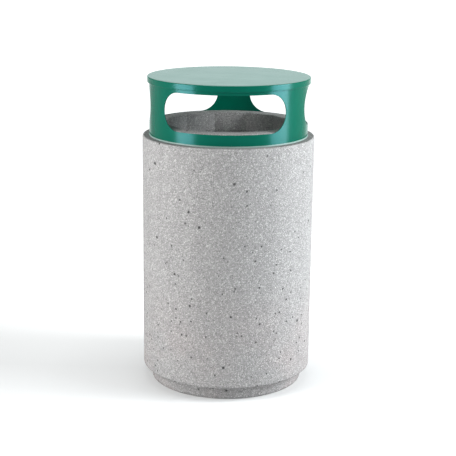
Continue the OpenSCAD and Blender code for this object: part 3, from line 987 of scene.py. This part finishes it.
def bail_wire():
    """A round wire along a path: in through an ear, round a tight bend, along the half circle
    that lies on the rim, and the same again mirrored. The tight bend is a quarter circle. Each
    end is spread into a head, by a radius that rises over the last few millimetres, and the
    head's outer edge is chamfered."""
    steps = 26
    pin = np.stack([np.linspace(BAIL_PIN_END, BAIL_BEND - ELBOW, steps), np.zeros(steps)], -1)
    t = np.linspace(0, math.pi / 2, 9)[1:]
    elbow = np.stack([BAIL_BEND - ELBOW + ELBOW * np.sin(t), ELBOW * np.cos(t) - ELBOW], -1)
    start = math.asin(ELBOW / BAIL_BEND)
    a = np.linspace(start, math.pi - start, 121)[1:-1]
    bow = np.stack([BAIL_BEND * np.cos(a), -BAIL_BEND * np.sin(a)], -1)
    mirror = np.array([-1, 1])
    path = np.concatenate([pin, elbow, bow, (elbow * mirror)[::-1], (pin * mirror)[::-1]])
    distance = np.concatenate([
        [0], np.cumsum(np.linalg.norm(np.diff(path, axis=0), axis=1))])
    distance = np.minimum(distance, distance[-1] - distance)
    head = HEAD_STEP * np.clip((HEAD_LENGTH - distance) / HEAD_SLOPE, 0, 1)
    chamfer = HEAD_CHAMFER * np.clip(1 - distance / HEAD_CHAMFER, 0, 1)
    radius = BAIL_RADIUS + head - chamfer
    along = np.gradient(path, axis=0)
    along /= np.linalg.norm(along, axis=1, keepdims=True)
    across = np.stack([-along[:, 1], along[:, 0], 0 * along[:, 0]], -1)
    centre = np.concatenate([path, np.full((len(path), 1), BAIL_Z)], 1)
    return swept("bail_wire", centre, across, radius, 24)


def bail_grip():
    """A ribbed tube on the middle of the wire. Its radius along the wire is the grip's own,
    less a small wave for the ribs, and it falls to the wire's radius at both ends by a quarter
    circle."""
    full = (GRIP_HIGH.z - GRIP_LOW.z) / 2
    u = np.linspace(-1, 1, 121)
    arc = GRIP_SPAN * BAIL_BEND / 2
    from_end = (1 - np.abs(u)) * arc
    ease = np.sqrt(np.clip(1 - (1 - np.clip(from_end / GRIP_END, 0, 1)) ** 2, 0, 1))
    ribs = RIB_DEPTH * (1 - np.cos(u * arc / RIB_PITCH * math.tau)) / 2
    radius = BAIL_RADIUS + (full - BAIL_RADIUS - ribs) * ease
    a = -u * GRIP_SPAN / 2
    across = np.stack([np.sin(a), -np.cos(a), 0 * a], -1)
    centre = across * BAIL_BEND + np.array([0, 0, BAIL_Z])
    return swept("bail_grip_tube", centre, across, radius, 32)


# How far the edges of each piece of hardware are rounded, in millimetres
EASED = {
    "drain_sleeve": 0.5, "hinge_body_leaf": 0.8, "hinge_body_bolts": 0.7,
    "hinge_body_washers": 0.3, "hinge_pin": 0.6, "hinge_pin_clip": 0.2, "lock_keeper": 0.5,
    "lock_keeper_screws": 0.7, "hood_top_ring": 0.6, "hood_cap_nuts": 0.5,
    "hinge_hood_leaf": 0.6, "hinge_hood_rivets": 1.1, "lock_housing": 0.6, "lock_nut": 0.6,
    "lock_plug": 0.4, "lock_cam": 0.5, "lock_cam_screw": 0.7, "liner_ears": 0.5,
    "liner_ear_rivets": 1.1}


class BIN_OT_hardware(bpy.types.Operator):
    """Adds the hinge, lock, ears and fasteners with their edges eased"""

    bl_idname = "bin.hardware"
    bl_label = "Hardware"

    def execute(self, context):
        for node, width in EASED.items():
            piece = eased(node, width * MM)
            dressed(piece, body_of_node(node), slot_of_node(node), node)
        return {"FINISHED"}


def eased(node, width):
    """A copy of a CAD node with its flat faces joined and its edges rounded by a bevel."""
    mesh = frame["nodes"][node].data.copy()
    work = bmesh.new()
    work.from_mesh(mesh)
    bmesh.ops.remove_doubles(work, verts=work.verts, dist=CLOSE)
    bmesh.ops.dissolve_limit(work, angle_limit=math.radians(0.5), verts=work.verts,
                             edges=work.edges)
    work.to_mesh(mesh)
    work.free()
    piece = placed(node + "_eased", mesh, 30.0)
    bevelled(piece, width, 35)
    return piece


class BIN_OT_plain_nodes(bpy.types.Operator):
    """Gives the CAD nodes that are shown as they are their finishes"""

    bl_idname = "bin.plain_nodes"
    bl_label = "Plain Nodes"

    def execute(self, context):
        for node, shown in frame["nodes"].items():
            if not shown.hide_render:
                shown.data.materials.clear()
                shown.data.materials.append(finishes()[slot_of_node(node)])
        return {"FINISHED"}


class BIN_PT_panel(bpy.types.Panel):
    """Lists the sizes, the colours and the steps that build the bin"""

    bl_idname = "BIN_PT_panel"
    bl_label = "Litter Bin"
    bl_space_type = "VIEW_3D"
    bl_region_type = "UI"
    bl_category = "Litter Bin"

    def draw(self, context):
        for group in (context.scene.bin_sizes, context.scene.bin_colours):
            for name in group.__annotations__:
                self.layout.prop(group, name)
        for step in STEPS:
            self.layout.operator(step.bl_idname)


STEPS = (BIN_OT_stage, BIN_OT_concrete_body, BIN_OT_hood_band, BIN_OT_hood_cap,
         BIN_OT_edge_strip, BIN_OT_liner, BIN_OT_bail, BIN_OT_hardware, BIN_OT_plain_nodes)
CLASSES = (BinSizes, BinColours, *STEPS, BIN_PT_panel)


def register():
    for cls in CLASSES:
        bpy.utils.register_class(cls)
    bpy.types.Scene.bin_sizes = bpy.props.PointerProperty(type=BinSizes)
    bpy.types.Scene.bin_colours = bpy.props.PointerProperty(type=BinColours)


def unregister():
    del bpy.types.Scene.bin_colours
    del bpy.types.Scene.bin_sizes
    for cls in reversed(CLASSES):
        bpy.utils.unregister_class(cls)


def main():
    """Builds everything in order."""
    register()
    for step in STEPS:
        group, name = step.bl_idname.split(".")
        getattr(getattr(bpy.ops, group), name)()


if __name__ == "__main__":
    main()
